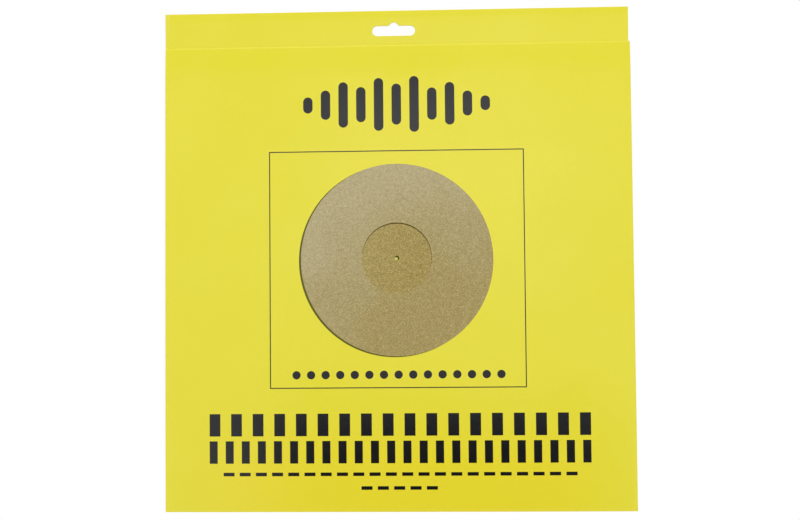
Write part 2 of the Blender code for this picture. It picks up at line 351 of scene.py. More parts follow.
print("a frame of 170 mm has", len(stepped(block((0.0, 0.0), 0.17, 0.16))), "points")

# %% [markdown]
# ## The hang slot
#
# The slot takes a display peg: a bar with round ends, and a low hump over its middle that centres the
# pack. The punch has small rounded corners where the hump leaves the bar. One function draws it at any
# offset, because the same outline is needed again just outside the hole, where the punch has pressed
# the card's edge down a little.

# %% The slot's outline
SLOT_LENGTH = 0.0291
SLOT_BAR = 0.0068
HUMP_RISE = 0.0023
HUMP_RADIUS = 0.0030
HUMP_FILLET = 0.0024
END_SIDES = 16
HUMP_SIDES = 14
FILLET_SIDES = 5


def slot_outline(offset=0.0):
    """The punched slot, run anticlockwise, grown by an offset."""
    bar_top = offset - HUMP_RISE
    bar_middle = -HUMP_RISE - SLOT_BAR / 2
    end_radius = SLOT_BAR / 2 + offset
    end_x = SLOT_LENGTH / 2 - SLOT_BAR / 2
    hump_radius = HUMP_RADIUS + offset
    fillet = HUMP_FILLET - offset
    fillet_z = bar_top + fillet
    fillet_x = sqrt((hump_radius + fillet) ** 2 - (fillet_z + HUMP_RADIUS) ** 2)
    lean = atan2(fillet_z + HUMP_RADIUS, fillet_x)
    right = arc((end_x, bar_middle), end_radius, -pi / 2, pi / 2, END_SIDES)
    right_fillet = arc((fillet_x, fillet_z), fillet, 3 * pi / 2, pi + lean, FILLET_SIDES)
    hump = arc((0.0, -HUMP_RADIUS), hump_radius, lean, pi - lean, HUMP_SIDES)
    left_fillet = arc((-fillet_x, fillet_z), fillet, -lean, -pi / 2, FILLET_SIDES)
    left = arc((-end_x, bar_middle), end_radius, pi / 2, 3 * pi / 2, END_SIDES)
    return right + right_fillet + hump[1:-1] + left_fillet + left + stretch(left[-1], right[0])[1:]


print("slot outline", len(slot_outline()), "points")

# %% [markdown]
# ## Rows of like shapes
#
# The print has rows of even blocks, dots and dashes. Each is one small shape repeated at a pitch,
# which is what Geometry Nodes are for: the tree takes the shape, a count, a pitch and a place, and
# instances the shape along a line. The result is read back as a plain mesh, whose faces are then the
# outlines on the printing plate.

# %% The dark ink, which the printing plates already carry
INK_COLOUR = (0.0056, 0.0053, 0.0064)
INK_ROUGHNESS = 0.19

dark_ink = bpy.data.materials.new("dark_ink")
dark_ink.diffuse_color = (*INK_COLOUR, 1.0)


# %% A Geometry Nodes group with named sizes
def geometry_group(name, sizes):
    """A group that takes a mesh and the named sizes, and gives a mesh."""
    group = bpy.data.node_groups.new(name, "GeometryNodeTree")
    group.interface.new_socket("Mesh", in_out="INPUT", socket_type="NodeSocketGeometry")
    for size, value in sizes.items():
        kind = "NodeSocketInt" if isinstance(value, int) else "NodeSocketFloat"
        group.interface.new_socket(size, in_out="INPUT", socket_type=kind)
    group.interface.new_socket("Mesh", in_out="OUTPUT", socket_type="NodeSocketGeometry")
    return Tree(group)


def run_group(tree, mesh, sizes):
    """The plain mesh that the group makes of a mesh."""
    worker = bpy.data.objects.new("worker", mesh)
    bpy.context.scene.collection.objects.link(worker)
    modifier = worker.modifiers.new("group", "NODES")
    modifier.node_group = tree.data
    for item in tree.data.interface.items_tree:
        if item.in_out == "INPUT" and item.name in sizes:
            modifier[item.identifier] = sizes[item.name]
    evaluated = worker.evaluated_get(bpy.context.evaluated_depsgraph_get())
    result = bpy.data.meshes.new_from_object(evaluated)
    bpy.data.objects.remove(worker)
    return result


# %% The tree that repeats a shape along a row
row_sizes = {"Count": 1, "Pitch": 0.01, "Middle": 0.0, "Height": 0.0}
row_tree = geometry_group("printed_row", row_sizes)
row_in = row_tree.node("NodeGroupInput")
first_x = row_in.output("Middle") - row_in.output("Pitch") * (row_in.output("Count") - 1.0) / 2.0
first = row_tree.node("ShaderNodeCombineXYZ", {}, {"X": first_x, "Z": row_in.output("Height")})
pitch = row_tree.node("ShaderNodeCombineXYZ", {}, {"X": row_in.output("Pitch")})
line_inputs = {"Count": row_in.output("Count"), "Start Location": first, "Offset": pitch}
line = row_tree.node("GeometryNodeMeshLine", {"mode": "OFFSET"}, line_inputs)
instancing = {"Points": line, "Instance": row_in.output("Mesh")}
copies = row_tree.node("GeometryNodeInstanceOnPoints", {}, instancing)
row = row_tree.node("GeometryNodeRealizeInstances", {}, {"Geometry": copies})
inked_row = row_tree.node("GeometryNodeSetMaterial", {}, {"Geometry": row, "Material": dark_ink})
row_tree.node("NodeGroupOutput", {}, {"Mesh": inked_row})
print("row tree", len(row_tree.data.nodes), "nodes")


def printed_row(outline, count, pitch, height):
    """Outlines of count like shapes, centred on the sleeve's width at a height."""
    plate = bpy.data.meshes.new("printing_plate")
    plate.from_pydata([(x, 0.0, z) for x, z in outline], [], [range(len(outline))])
    sizes = {"Count": count, "Pitch": pitch, "Middle": MIDDLE_X, "Height": height}
    row_mesh = run_group(row_tree, plate, sizes)
    places = [vertex.co for vertex in row_mesh.vertices]
    outlines = [[(places[v].x, places[v].z) for v in face.vertices] for face in row_mesh.polygons]
    bpy.data.meshes.remove(row_mesh)
    bpy.data.meshes.remove(plate)
    return outlines


# %% [markdown]
# ## The print
#
# The front carries plain shapes only. Upright bars with round ends stand over a thin frame, and a tan
# disc with a round recess and a pin hole fills the frame. Dots run under the disc, two rows of strobe
# blocks, as on a platter's rim, run under the frame, and fine dashes close the page. Each shape is
# painted over those before it, as a press lays one ink over another.

# %% What each paint is called
CARD_PAINT, INK_PAINT, CORK_PAINT, RECESS_PAINT = range(4)
SHADE_PAINT, LIP_PAINT, HOLE_PAINT, EDGE_PAINT = range(4, 8)
ORIGIN = (0.0, 0.0)

# %% The frame and the disc
PRINT_MIDDLE_X = LEFT_X + 0.1572
FRAME_MIDDLE = (PRINT_MIDDLE_X, BOTTOM_Z + 0.16225)
FRAME_WIDTH = 0.1720
FRAME_HEIGHT = 0.1599
FRAME_LINE = 0.0007

DISC_MIDDLE = (PRINT_MIDDLE_X, BOTTOM_Z + 0.1683)
DISC_RADIUS = 0.0647
DISC_SIDES = 160
SHADE_SHIFT = (-0.00118, -0.00054)
SHADE_GROWTH = 0.00014

RECESS_RISE = 0.0014
RECESS_MIDDLE = (PRINT_MIDDLE_X, DISC_MIDDLE[1] + RECESS_RISE)
RECESS_RADIUS = 0.0236
RECESS_SIDES = 72
LIP_SHIFT = (-0.00010, -0.00060)
LIP_WIDTH = 0.00012
HOLE_DROP = 0.0003
HOLE_MIDDLE = (PRINT_MIDDLE_X, RECESS_MIDDLE[1] - HOLE_DROP)
HOLE_RADIUS = 0.0016
HOLE_SIDES = 20
HOLE_LIP_SHIFT = (-0.00042, -0.00050)
HOLE_LIP_WIDTH = 0.00048


def shifted(place, shift):
    return (place[0] + shift[0], place[1] + shift[1])


def framed_disc():
    """The frame's line, and the disc with its shaded rim, recess and pin hole."""
    inner = block(FRAME_MIDDLE, FRAME_WIDTH - 2 * FRAME_LINE, FRAME_HEIGHT - 2 * FRAME_LINE)
    shade = circle(shifted(DISC_MIDDLE, SHADE_SHIFT), DISC_RADIUS + SHADE_GROWTH, DISC_SIDES)
    floor_middle = shifted(RECESS_MIDDLE, LIP_SHIFT)
    lit_middle = shifted(HOLE_MIDDLE, HOLE_LIP_SHIFT)
    return [
        (stepped(block(FRAME_MIDDLE, FRAME_WIDTH, FRAME_HEIGHT)), INK_PAINT),
        (stepped(inner), CARD_PAINT),
        (shade, SHADE_PAINT),
        (circle(DISC_MIDDLE, DISC_RADIUS, DISC_SIDES), CORK_PAINT),
        (circle(RECESS_MIDDLE, RECESS_RADIUS, RECESS_SIDES), LIP_PAINT),
        (circle(floor_middle, RECESS_RADIUS - LIP_WIDTH, RECESS_SIDES), RECESS_PAINT),
        (circle(HOLE_MIDDLE, HOLE_RADIUS, HOLE_SIDES), LIP_PAINT),
        (circle(lit_middle, HOLE_RADIUS - HOLE_LIP_WIDTH, HOLE_SIDES), HOLE_PAINT),
    ]


# %% The rows of dark ink
WAVE_HEIGHTS = (0.011, 0.020, 0.031, 0.024, 0.036, 0.028, 0.038, 0.022, 0.029, 0.017, 0.010)
WAVE_PITCH = 0.0120
WAVE_BAR = 0.0064
WAVE_Z = CREASE_Z - 0.0402
WAVE_SIDES = 12

DOT_COUNT = 15
DOT_PITCH = 0.0098
DOT_RADIUS = 0.0028
DOT_SIDES = 24
DOT_Z = BOTTOM_Z + 0.0913

STROBE_LENGTH = 0.2550
STROBE_HEIGHT = 0.0150
STROBE_ROWS = ((18, BOTTOM_Z + 0.0581), (24, BOTTOM_Z + 0.0399))

DASH_LENGTH = 0.0074
DASH_HEIGHT = 0.0024
DASH_PITCH = 0.0109
DASH_ROWS = ((22, BOTTOM_Z + 0.0252), (5, BOTTOM_Z + 0.0160))


def wave_bars():
    """Upright bars with half-round ends, each of its own height."""
    first = MIDDLE_X - WAVE_PITCH * (len(WAVE_HEIGHTS) - 1) / 2
    radius = WAVE_BAR / 2
    bars = []
    for number, height in enumerate(WAVE_HEIGHTS):
        x = first + WAVE_PITCH * number
        reach = height / 2 - radius
        top = arc((x, WAVE_Z + reach), radius, 0.0, pi, WAVE_SIDES)
        bottom = arc((x, WAVE_Z - reach), radius, pi, 2 * pi, WAVE_SIDES)
        left = stretch(top[-1], bottom[0])[1:]
        right = stretch(bottom[-1], top[0])[1:]
        bars.append(top + left + bottom + right)
    return bars


def ink_rows():
    dot = circle(ORIGIN, DOT_RADIUS, DOT_SIDES)
    outlines = wave_bars() + printed_row(dot, DOT_COUNT, DOT_PITCH, DOT_Z)
    for count, height in STROBE_ROWS:
        width = STROBE_LENGTH / (2 * count - 1)
        outlines += printed_row(stepped(block(ORIGIN, width, STROBE_HEIGHT)), count, 2 * width, height)
    dash = block(ORIGIN, DASH_LENGTH, DASH_HEIGHT)
    for count, height in DASH_ROWS:
        outlines += printed_row(dash, count, DASH_PITCH, height)
    return outlines


front_print = framed_disc() + [(outline, INK_PAINT) for outline in ink_rows()]
print("printed shapes", len(front_print))

# %% [markdown]
# ## The flat sheets
#
# Front and back are two flat sheets over one outline. A triangulation that keeps given lines turns
# them into meshes: the printed outlines become mesh edges, so the ink stays sharp from close by, and
# lines along every crease give the card enough points to bend. Points of an even grid fill the rest.
# Grid points that would fall close to an outline are left out, since they would make slivers.

# %% Lines where the card bends
FOLD_STEPS = 6
SHOULDER_STEPS = 8
SHOULDER_MARGIN = 0.0004
ROUND_STEPS = 4
SEAM_INSET = 0.0016
SEAM_RUN = 0.00012
SEAM_CLEARANCE = 4 * SEAM_RUN
HEADER_STEP = 0.006


def round_insets(radius, steps):
    """How far in from an edge each line of its round lies, the edge itself first."""
    return [radius * (1.0 - cos(pi / 2 * step / steps)) for step in range(steps + 1)]


def top_edge(inset):
    """Left and right end of the header's top edge, or of a line an inset below it."""
    return (LEFT_X, TOP_LEFT_Z - inset), (HEADER_RIGHT_X, TOP_RIGHT_Z - inset)


def shoulder_row(share):
    """Left and right end of a line across the shoulder, 0 at the crease and 1 at the header."""
    z = CREASE_Z + SHOULDER_HEIGHT * share
    return (LEFT_X, z), (RIGHT_X - HEADER_INSET * share, z)


def seam_places():
    """Foot and lip of each back seam, from left to right."""
    feet = (LEFT_X + SEAM_INSET, RIGHT_X - SEAM_INSET)
    return [feet[0], feet[0] + SEAM_RUN, feet[1] - SEAM_RUN, feet[1]]


# %% The pack's outline
def side_heights():
    return [z for _, z in stretch((0.0, BOTTOM_Z), (0.0, CREASE_Z))]


def bottom_places():
    """Even places along the bottom, with one at each seam's foot and lip."""
    even = [x for x, _ in stretch((LEFT_X, 0.0), (RIGHT_X, 0.0))]
    clear = [x for x in even if min(abs(x - seam) for seam in seam_places()) > SEAM_CLEARANCE]
    return sorted(clear + seam_places())


def header_side(end, insets):
    """Points up end 0 or 1 of the header, close together at the rounded top edge."""
    tops = [top_edge(inset)[end] for inset in reversed(insets)]
    return stretch(shoulder_row(1.0)[end], tops[0]) + tops


def pack_outline():
    insets = round_insets(TOP_ROUND, ROUND_STEPS)
    shares = [step / SHOULDER_STEPS for step in range(SHOULDER_STEPS)]
    bottom = [(x, BOTTOM_Z) for x in bottom_places()]
    right = [(RIGHT_X, z) for z in side_heights()] + [shoulder_row(share)[1] for share in shares]
    right += header_side(1, insets)
    top_left, top_right = top_edge(0.0)
    top = stretch(top_right, top_left, HEADER_STEP)[1:]
    left = header_side(0, insets)[::-1] + [shoulder_row(share)[0] for share in reversed(shares)]
    left += [(LEFT_X, z) for z in reversed(side_heights()[1:])]
    return bottom + right + top + left


print("pack outline", len(pack_outline()), "points")


# %% Fold, shoulder and header lines
def fold_lines():
    """Lines that follow the sides and the bottom round the fold."""
    lines = []
    for inset in round_insets(FOLD_RADIUS, FOLD_STEPS)[1:]:
        left = LEFT_X + inset
        right = RIGHT_X - inset
        low = BOTTOM_Z + inset
        heights = [low] + side_heights()[1:] + [CREASE_Z]
        across = [(x, low) for x in bottom_places() if left < x < right]
        lines.append([(left, z) for z in reversed(heights)] + across + [(right, z) for z in heights])
    return lines


def cross_line(ends, step=STEP):
    return stretch(*ends, step) + [ends[1]]


def header_lines():
    """The shoulder from the crease up, a line close to each side of it, and the rounded top edge."""
    shoulder = [cross_line(shoulder_row(step / SHOULDER_STEPS)) for step in range(SHOULDER_STEPS + 1)]
    ends = (LEFT_X + FOLD_RADIUS, HEADER_RIGHT_X - FOLD_RADIUS)
    heights = (CREASE_Z - SHOULDER_MARGIN, HEADER_Z + SHOULDER_MARGIN)
    margins = [cross_line(((ends[0], z), (ends[1], z))) for z in heights]
    insets = round_insets(TOP_ROUND, ROUND_STEPS)[1:]
    tops = [cross_line(top_edge(inset), HEADER_STEP) for inset in insets]
    return shoulder + margins + tops


# %% The grid that fills a sheet
GRID_CLEARANCE = 0.0012


def cell_of(place):
    """The small square cell of the plane that a point lies in."""
    return round(place[0] / GRID_CLEARANCE), round(place[1] / GRID_CLEARANCE)


def crowded_cells(outlines):
    """The cells that hold a point of some outline, with their neighbours."""
    cells = set()
    for column, row in (cell_of(place) for outline in outlines for place in outline):
        cells |= {(column + i, row + j) for i in (-1, 0, 1) for j in (-1, 0, 1)}
    return cells


def grid_points(outlines, step):
    """Even points over the body and the header, clear of the outlines and the folds."""
    sides = [side for outline in outlines for side in zip(outline, outline[1:] + outline[:1])]
    crowded = crowded_cells([stretch(start, end, GRID_CLEARANCE) for start, end in sides])
    edge = FOLD_RADIUS + GRID_CLEARANCE
    columns = [x for x, _ in stretch((LEFT_X + edge, 0.0), (RIGHT_X - edge, 0.0), step)][1:]
    body = [z for _, z in stretch((0.0, BOTTOM_Z + edge), (0.0, CREASE_Z - edge), step)][1:]
    header = [z for _, z in stretch((0.0, HEADER_Z), (0.0, TOP_RIGHT_Z - edge), step)][1:]
    places = [(x, z) for x in columns for z in body + header]
    return [place for place in places if cell_of(place) not in crowded]


# %% A sheet of points, lines and outlines
MILLIMETRES = 1000.0
MERGE_MM = 0.00001
POINTS_PER_METRE = 1e7
INSIDE_ONLY = 1


class Sheet:
    """Points, lines and closed outlines in the plane, triangulated together."""

    def __init__(self):
        self.points = []
        self.index_of = {}
        self.lines = []
        self.loops = []
        self.paints = []

    def point(self, place):
        key = (round(place[0] * POINTS_PER_METRE), round(place[1] * POINTS_PER_METRE))
        if key not in self.index_of:
            self.index_of[key] = len(self.points)
            self.points.append(Vector(place) * MILLIMETRES)
        return self.index_of[key]

    def line(self, places):
        indices = [self.point(place) for place in places]
        self.lines += list(zip(indices, indices[1:]))

    def loop(self, places, paint):
        """paint fills the outline, or None cuts it out."""
        self.loops.append([self.point(place) for place in places])
        self.paints.append(paint)

    def triangles(self):
        """Corner places, triangles, their paints, and the corner that each point became."""
        shapes = (self.points, self.lines, self.loops)
        result = delaunay_2d_cdt(*shapes, INSIDE_ONLY, MERGE_MM, True)
        corners, _, faces, point_origins, _, face_origins = result
        corner_of = {}
        for number, origins in enumerate(point_origins):
            corner_of.update(dict.fromkeys(origins, number))
        kept = []
        paints = []
        for face, origins in zip(faces, face_origins):
            layers = [self.paints[origin] for origin in sorted(origins)]
            if layers and None not in layers:
                kept.append(face)
                paints.append(layers[-1])
        return [corner / MILLIMETRES for corner in corners], kept, paints, corner_of


# %% Lay out both sheets
PRESSED_WIDTH = 0.00022
SLOT_MARGIN = 0.0004
BACK_STEP = 0.006


def make_sheet(prints, lines, step):
    """The cut sheet with its prints, its bend lines and a grid of a step between them."""
    sheet = Sheet()
    sheet.loop(pack_outline(), CARD_PAINT)
    sheet.loop(slot_outline(), None)
    rings = [slot_outline(PRESSED_WIDTH), slot_outline(PRESSED_WIDTH + SLOT_MARGIN)]
    for line in fold_lines() + header_lines() + [ring + ring[:1] for ring in rings] + lines:
        sheet.line(line)
    for outline, paint in prints:
        sheet.loop(outline, paint)
    for place in grid_points([outline for outline, _ in prints] + rings, step):
        sheet.point(place)
    return sheet


def seam_strips():
    """The cut edge of the back panel, between each seam's foot and lip."""
    feet = seam_places()
    heights = side_heights() + [CREASE_Z]
    strips = []
    for left, right in (feet[:2], feet[2:]):
        strips.append([(right, z) for z in heights] + [(left, z) for z in reversed(heights)])
    return [(strip, EDGE_PAINT) for strip in strips]


front_sheet = make_sheet(front_print, [], STEP)
seam_ends = [[(x, CREASE_Z), (x, HEADER_Z)] for x in seam_places()]
back_sheet = make_sheet(seam_strips(), seam_ends, BACK_STEP)
print("front sheet", len(front_sheet.points), "points, back sheet", len(back_sheet.points))

# %% [markdown]
# ## One closed skin
#
# The two sheets are joined along the outer edge and round the slot, so the pack is one closed skin, as
# it would be if it were dipped. Where the card is cut, at the header's two ends and in the slot, the
# wall shows both plies with a fine groove between them. Each point carries a number called side, from
# -1 on the front sheet to 1 on the back sheet, which the bending rule reads.

# %% The skin
PLY_GAP = 0.12
PLY_DEPTH = 0.00010
PRESSED_DEPTH = 0.00009


class Skin:
    """Points with their side and pressed depth, and faces with their paint."""

    def __init__(self):
        self.places = []
        self.sides = []
        self.pressed = []
        self.faces = []
        self.paints = []

    def add_point(self, place, side):
        self.places.append((place[0], 0.0, place[1]))
        self.sides.append(side)
        self.pressed.append(0.0)
        return len(self.places) - 1

    def add_sheet(self, sheet, side, rims):
        """Adds a sheet facing its side, and returns the point numbers of its rims."""
        places, triangles, paints, corner_of = sheet.triangles()
        used = sorted({corner for triangle in triangles for corner in triangle})
        numbers = {corner: self.add_point(places[corner], side) for corner in used}
        turn = -1 if side > 0 else 1
        self.faces += [[numbers[corner] for corner in triangle[::turn]] for triangle in triangles]
        self.paints += paints
        return [[numbers[corner_of[sheet.point(place)]] for place in rim] for rim in rims]

    def add_wall(self, columns, facing, paints):
        """Walls between neighbouring columns of points, each column running from front to back."""
        for number, paint in enumerate(paints):
            here = columns[number]
            there = columns[(number + 1) % len(columns)]
            if len(here) == len(there):
                walls = [[there[k], here[k], here[k + 1], there[k + 1]] for k in range(len(here) - 1)]
            else:
                walls = [there[::-1] + here]
            self.faces += [wall[::facing] for wall in walls]
            self.paints += [paint] * len(walls)


# %% Columns of points through a cut edge
def inward(rim, number, facing):
    """Unit direction from a rim point into the card."""
    before = Vector(rim[number - 1])
    after = Vector(rim[(number + 1) % len(rim)])
    along = (after - before).normalized()
    return Vector((-along.y, along.x)) * facing


def ply_columns(skin, rim, fronts, backs, facing, cut):
    """For each rim point, its numbers from front to back, with the groove's where the card is cut."""
    columns = []
    for number, place in enumerate(rim):
        middle = []
        if cut[number]:
            ends = cut[number - 1] and cut[(number + 1) % len(rim)]
            depth = PLY_DEPTH if ends else 0.0
            floor_place = Vector(place) + inward(rim, number, facing) * depth
            middle = [
                skin.add_point(place, -PLY_GAP),
                skin.add_point(floor_place, 0.0),
                skin.add_point(place, PLY_GAP),
            ]
        columns.append([fronts[number]] + middle + [backs[number]])
    return columns


def is_header_end(place):
    """True on the header's two cut ends, up to where the top edge starts to round."""
    x, z = place
    start_of_round = top_edge(TOP_ROUND)[x > MIDDLE_X][1]
    return x in (LEFT_X, HEADER_RIGHT_X) and HEADER_Z <= z <= start_of_round


# %% Join the sheets
rims = (pack_outline(), slot_outline())
skin = Skin()
front_rims = skin.add_sheet(front_sheet, -1.0, rims)
back_rims = skin.add_sheet(back_sheet, 1.0, rims)
for number in front_rims[1] + back_rims[1]:
    skin.pressed[number] = PRESSED_DEPTH

outer_cut = [is_header_end(place) for place in rims[0]]
outer_columns = ply_columns(skin, rims[0], front_rims[0], back_rims[0], 1, outer_cut)
after_cut = outer_cut[1:] + [False]
outer_paints = [EDGE_PAINT if cut and after else CARD_PAINT for cut, after in zip(outer_cut, after_cut)]
skin.add_wall(outer_columns, 1, outer_paints)
slot_cut = [True] * len(rims[1])
slot_columns = ply_columns(skin, rims[1], front_rims[1], back_rims[1], -1, slot_cut)
skin.add_wall(slot_columns, -1, [EDGE_PAINT] * len(rims[1]))

flat_mesh = bpy.data.meshes.new("flat_card")
flat_mesh.from_pydata(skin.places, [], skin.faces)
stored_values = {"side": skin.sides, "pressed": skin.pressed, "paint": skin.paints}
for name, values in stored_values.items():
    attribute = flat_mesh.attributes.new(name, "FLOAT", "FACE" if name == "paint" else "POINT")
    attribute.data.foreach_set("value", [float(value) for value in values])
print("flat card", len(flat_mesh.vertices), "points", len(flat_mesh.polygons), "faces")

# %% [markdown]
# ## The finishes
#
# The card is white board printed solid yellow, with a satin coat. Seen close it isn't even: the
# yellow drifts a little over the sheet, the coat has fine pores and a slight orange peel, and the folds
# have rubbed pale where the coat cracked. Low on the sheet, away from the sides, a deeper and warmer
# yellow is painted shade, standing for the gloss that shows the dark room there. All patterns read the
# object's own coordinates, so they are fixed to the card. The bend tree below stores how worn each
# point is.

# %% Helpers for finishes
PORE_GRAIN = 0.0006
PEEL_GRAIN = 0.0032
PEEL_WEIGHT = 1.6


def start_finish(material):
    """Empties a material's tree, and gives the tree and the object's own coordinates."""
    material.use_nodes = True
    material.node_tree.nodes.clear()
    tree = Tree(material.node_tree)
    return tree, tree.node("ShaderNodeTexCoord").output("Object")


def end_finish(tree, colour, roughness, height, depth, specular=0.5):
    """A Principled shader with a bump of a depth in metres under it."""
    bump = tree.node("ShaderNodeBump", {}, {"Height": height, "Distance": depth})
    inputs = {"Base Color": colour, "Roughness": roughness, "Normal": bump}
    inputs["Specular IOR Level"] = specular
    shader = tree.node("ShaderNodeBsdfPrincipled", {}, inputs)
    tree.node("ShaderNodeOutputMaterial", {}, {"Surface": shader})


def paper_skin(tree, place):
    """Fine pores and a slight orange peel, which all print on the card shares."""
    pores = tree.noise(place, PORE_GRAIN, detail=3.0, seed=2.0)
    return pores + tree.noise(place, PEEL_GRAIN, detail=1.0, seed=5.0) * PEEL_WEIGHT


# %% Yellow coated card
YELLOW = (0.800, 0.725, 0.028)
YELLOW_PALE = (0.815, 0.740, 0.044)
YELLOW_DEEP = (0.785, 0.708, 0.018)
DRIFT_GRAIN = 0.055
DRIFT_WEIGHT = 1.4
SPECKLE_GRAIN = 0.0022
SPECKLE_WEIGHT = 0.5
# Painted shade: low on the sheet, away from the sides, the yellow turns deeper and warmer.
YELLOW_LOW_SHADE = (0.826, 0.700, 0.025)
LOW_SHADE_TOP = BOTTOM_Z + 0.070
LOW_SHADE_RUN = 0.035
LOW_SHADE_SIDE_RUN = 0.060
LOW_SHADE_SHARE = 0.85
RUBBED = (0.74, 0.70, 0.20)
WEAR_WEIGHT = 1.1
CRACK_GRAIN = 0.0030
CRACK_WEIGHT = 1.2
RUB_START = 0.50
RUB_SHARE = 0.35
CARD_ROUGHNESS = 0.23
RUB_ROUGHNESS = 0.30
PATCH_GRAIN = 0.030
PATCH_ROUGHNESS = 0.08
PAPER_DEPTH = 0.000012

yellow_card = bpy.data.materials.new("yellow_card")
yellow_card.diffuse_color = (*YELLOW, 1.0)
card, card_place = start_finish(yellow_card)
drift = card.noise(card_place, DRIFT_GRAIN, detail=2.0, seed=1.0) * DRIFT_WEIGHT
speckle = card.noise(card_place, SPECKLE_GRAIN, detail=3.0, seed=3.0) * SPECKLE_WEIGHT
solid = card.mix((drift + speckle + 0.5).limited(), YELLOW_DEEP, YELLOW_PALE)
card_spot = card.node("ShaderNodeSeparateXYZ", {}, {"Vector": card_place})
from_side = (card_spot.output("X") - LEFT_X).at_most(RIGHT_X - card_spot.output("X"))
# Painted shade: the deeper, warmer yellow is full low on the sheet and fades out towards the sides.
low_share = ((LOW_SHADE_TOP - card_spot.output("Z")) / LOW_SHADE_RUN).limited()
low_shade = low_share * (from_side / LOW_SHADE_SIDE_RUN).limited()
low_shaded_yellow = card.mix(low_shade * LOW_SHADE_SHARE, solid, YELLOW_LOW_SHADE)
wear = card.node("ShaderNodeAttribute", {"attribute_name": "wear"}).output("Fac")
cracks = card.noise(card_place, CRACK_GRAIN, detail=3.0, seed=4.0) * CRACK_WEIGHT
rub = (wear * WEAR_WEIGHT + cracks - RUB_START).limited()
card_colour = card.mix(rub * RUB_SHARE, low_shaded_yellow, RUBBED)
patches = card.noise(card_place, PATCH_GRAIN, detail=2.0, seed=6.0) * PATCH_ROUGHNESS
card_roughness = patches + rub * RUB_ROUGHNESS + CARD_ROUGHNESS
end_finish(card, card_colour, card_roughness, paper_skin(card, card_place), PAPER_DEPTH)

# %% Dark ink
MOTTLE_GRAIN = 0.004
MOTTLE_ROUGHNESS = 0.08

ink, ink_place = start_finish(dark_ink)
mottle = ink.noise(ink_place, MOTTLE_GRAIN, detail=3.0, seed=7.0) * MOTTLE_ROUGHNESS
ink_roughness = mottle + INK_ROUGHNESS
end_finish(ink, INK_COLOUR, ink_roughness, paper_skin(ink, ink_place), PAPER_DEPTH)

# %% [markdown]
# The tan disc is printed as a picture of pressed cork: grains about half a millimetre across, each a
# little lighter or darker than the next, a few dark flecks, and a slow drift from grey tan above to
# olive tan below. A cell pattern gives each grain its own shade.

# %% Cork print
GRAIN = 0.00055
FINE_GRAIN = 0.00036
FINE_WEIGHT = 1.6
FLECK = 0.0042
FLECK_SHARPNESS = 7.0
CLIMB_RUN = 0.70 * 2 * DISC_RADIUS
CLIMB_START = 0.55
CLIMB_INNER = 0.40
BLOTCH_GRAIN = 0.03
BLOTCH_WEIGHT = 0.8
HUE_GRAIN = 0.0013
HUE_SPREAD = 1.1
CORK_ROUGHNESS = 0.40
CORK_BROWN = (0.50, 0.31, 0.13)
CORK_OLIVE = (0.33, 0.33, 0.08)
CORK_DARK = (0.13, 0.09, 0.02)


def cork_print(name, upper, lower, pale, contrast, turn):
    """Printed cork that drifts from an upper to a lower colour, with pale, brown and olive grains."""
    material = bpy.data.materials.new(name)
    material.diffuse_color = (*upper, 1.0)
    tree, place = start_finish(material)
    spot = tree.node("ShaderNodeSeparateXYZ", {}, {"Vector": place})
    right = spot.output("X") - DISC_MIDDLE[0]
    above = spot.output("Z") - DISC_MIDDLE[1]
    along = right * cos(turn) + above * sin(turn)
    inner = 1.0 - (right * right + above * above).root() / DISC_RADIUS
    blotches = tree.noise(place, BLOTCH_GRAIN, detail=2.0, seed=1.0) * BLOTCH_WEIGHT
    climb = (along / CLIMB_RUN + blotches + CLIMB_START - inner * CLIMB_INNER).limited()
    hue = tree.noise(place, HUE_GRAIN, detail=2.0, seed=14.0)
    browned = tree.mix((hue * HUE_SPREAD).limited(), tree.mix(climb, lower, upper), CORK_BROWN)
    ground = tree.mix((hue * -HUE_SPREAD).limited(), browned, CORK_OLIVE)
    cell = tree.node("ShaderNodeTexVoronoi", {}, {"Vector": place, "Scale": 1.0 / GRAIN})
    shade = tree.node("ShaderNodeSeparateColor", {}, {"Color": cell.output("Color")}) - 0.5
    fleck = tree.node("ShaderNodeTexVoronoi", {}, {"Vector": place, "Scale": 1.0 / FLECK})
    dark_fleck = (1.0 - fleck * FLECK_SHARPNESS).limited()
    fine = tree.noise(place, FINE_GRAIN, detail=2.0, seed=8.0)
    tone = (shade + fine * FINE_WEIGHT - dark_fleck) * contrast
    light = tree.mix(tone.limited(), ground, pale)
    grain = tree.mix((tone * -1.0).limited(), light, CORK_DARK)
    end_finish(tree, grain, CORK_ROUGHNESS, paper_skin(tree, place), PAPER_DEPTH)
    return material


cork = cork_print(
    "cork_print",
    upper=(0.446, 0.377, 0.197),
    lower=(0.346, 0.262, 0.068),
    pale=(0.80, 0.70, 0.44),
    contrast=0.48,
    turn=radians(120.0),
)
recess = cork_print(
    "recess_print",
    upper=(0.382, 0.298, 0.080),
    lower=(0.318, 0.234, 0.040),
    pale=(0.70, 0.56, 0.22),
    contrast=0.80,
    turn=radians(170.0),
)

# %% Shaded rims and pin hole of the printed disc
SHADE_GRAIN = 0.0008
SHADE_ROUGHNESS = 0.38
RIM_DARK = (0.086, 0.082, 0.003)
RIM_LIGHT = (0.134, 0.126, 0.010)
LIP_DARK = (0.044, 0.034, 0.001)
LIP_LIGHT = (0.076, 0.060, 0.004)
HOLE_DARK = (0.50, 0.46, 0.09)
HOLE_LIGHT = (0.66, 0.62, 0.17)


